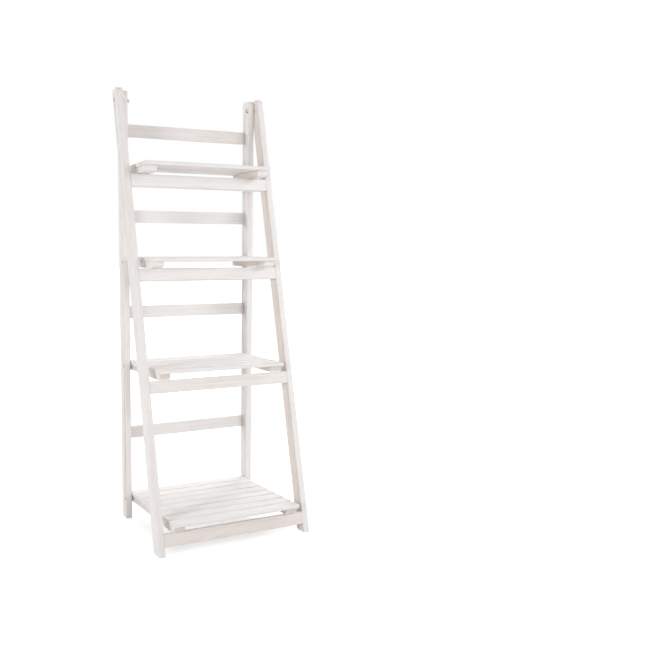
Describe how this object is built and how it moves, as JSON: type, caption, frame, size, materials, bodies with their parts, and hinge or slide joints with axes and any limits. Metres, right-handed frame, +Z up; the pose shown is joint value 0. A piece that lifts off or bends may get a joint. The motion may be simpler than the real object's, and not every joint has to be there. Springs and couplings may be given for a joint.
{
  "type": "plant ladder stand",
  "caption": "Folding plant ladder stand: a leaning front frame bolted to an upright rear frame, with slatted shelves that hinge on the rear posts and rest on the front rungs.",
  "frame": {"origin": "on the floor, under the centre of the open stand's bounding box", "axes": "+Z up, +Y towards the upright rear frame, -Y towards the leaning front frame, +X to the right seen from the front; the open stand is at rest"},
  "size_m": [0.4, 0.3146, 1.0826],
  "materials": {
    "whitewashed_wood": "thin white wash over pale softwood, matte, faint grain showing through",
    "dowel_wood": "bare beech, fine grain",
    "fastener_steel": "dull zinc plating"
  },
  "bodies": {
    "rear_frame": {"rear_post_left": "whitewashed_wood", "rear_post_right": "whitewashed_wood", "rear_rung_1": "whitewashed_wood", "rear_rung_2": "whitewashed_wood", "rear_rung_3": "whitewashed_wood", "rear_rung_4": "whitewashed_wood", "rear_dowels": "dowel_wood", "frame_bolts": "fastener_steel", "frame_washers": "fastener_steel", "frame_nuts": "fastener_steel", "hinge_screws": "fastener_steel", "hinge_washers": "fastener_steel"},
    "front_frame": {"front_upright_left": "whitewashed_wood", "front_upright_right": "whitewashed_wood", "front_rung_1": "whitewashed_wood", "front_rung_2": "whitewashed_wood", "front_rung_3": "whitewashed_wood", "front_rung_4": "whitewashed_wood", "front_dowels": "dowel_wood"},
    "shelf_1": {"shelf_1_batten_left": "whitewashed_wood", "shelf_1_batten_right": "whitewashed_wood", "shelf_1_slat_1": "whitewashed_wood", "shelf_1_slat_2": "whitewashed_wood", "shelf_1_slat_3": "whitewashed_wood", "shelf_1_slat_4": "whitewashed_wood", "shelf_1_screws": "fastener_steel"},
    "shelf_2": {"shelf_2_batten_left": "whitewashed_wood", "shelf_2_batten_right": "whitewashed_wood", "shelf_2_slat_1": "whitewashed_wood", "shelf_2_slat_2": "whitewashed_wood", "shelf_2_slat_3": "whitewashed_wood", "shelf_2_slat_4": "whitewashed_wood", "shelf_2_slat_5": "whitewashed_wood", "shelf_2_screws": "fastener_steel"},
    "shelf_3": {"shelf_3_batten_left": "whitewashed_wood", "shelf_3_batten_right": "whitewashed_wood", "shelf_3_slat_1": "whitewashed_wood", "shelf_3_slat_2": "whitewashed_wood", "shelf_3_slat_3": "whitewashed_wood", "shelf_3_slat_4": "whitewashed_wood", "shelf_3_slat_5": "whitewashed_wood", "shelf_3_slat_6": "whitewashed_wood", "shelf_3_screws": "fastener_steel"},
    "shelf_4": {"shelf_4_batten_left": "whitewashed_wood", "shelf_4_batten_right": "whitewashed_wood", "shelf_4_slat_1": "whitewashed_wood", "shelf_4_slat_2": "whitewashed_wood", "shelf_4_slat_3": "whitewashed_wood", "shelf_4_slat_4": "whitewashed_wood", "shelf_4_slat_5": "whitewashed_wood", "shelf_4_slat_6": "whitewashed_wood", "shelf_4_slat_7": "whitewashed_wood", "shelf_4_slat_8": "whitewashed_wood", "shelf_4_screws": "fastener_steel"}
  },
  "joints": [
    {"name": "frame_fold", "type": "hinge", "parent": "rear_frame", "child": "front_frame", "pos_m": [0, 0.12976, 1.055], "axis": [1, 0, 0], "range_deg": [0, 13.6]},
    {"name": "shelf_1_fold", "type": "hinge", "parent": "rear_frame", "child": "shelf_1", "pos_m": [0, 0.12976, 0.8845], "axis": [-1, 0, 0], "range_deg": [0, 89.3]},
    {"name": "shelf_2_fold", "type": "hinge", "parent": "rear_frame", "child": "shelf_2", "pos_m": [0, 0.12976, 0.6625], "axis": [-1, 0, 0], "range_deg": [0, 90.5]},
    {"name": "shelf_3_fold", "type": "hinge", "parent": "rear_frame", "child": "shelf_3", "pos_m": [0, 0.12976, 0.4], "axis": [-1, 0, 0], "range_deg": [0, 89.4]},
    {"name": "shelf_4_fold", "type": "hinge", "parent": "rear_frame", "child": "shelf_4", "pos_m": [0, 0.12976, 0.053], "axis": [-1, 0, 0], "range_deg": [0, 88.2]}
  ]
}
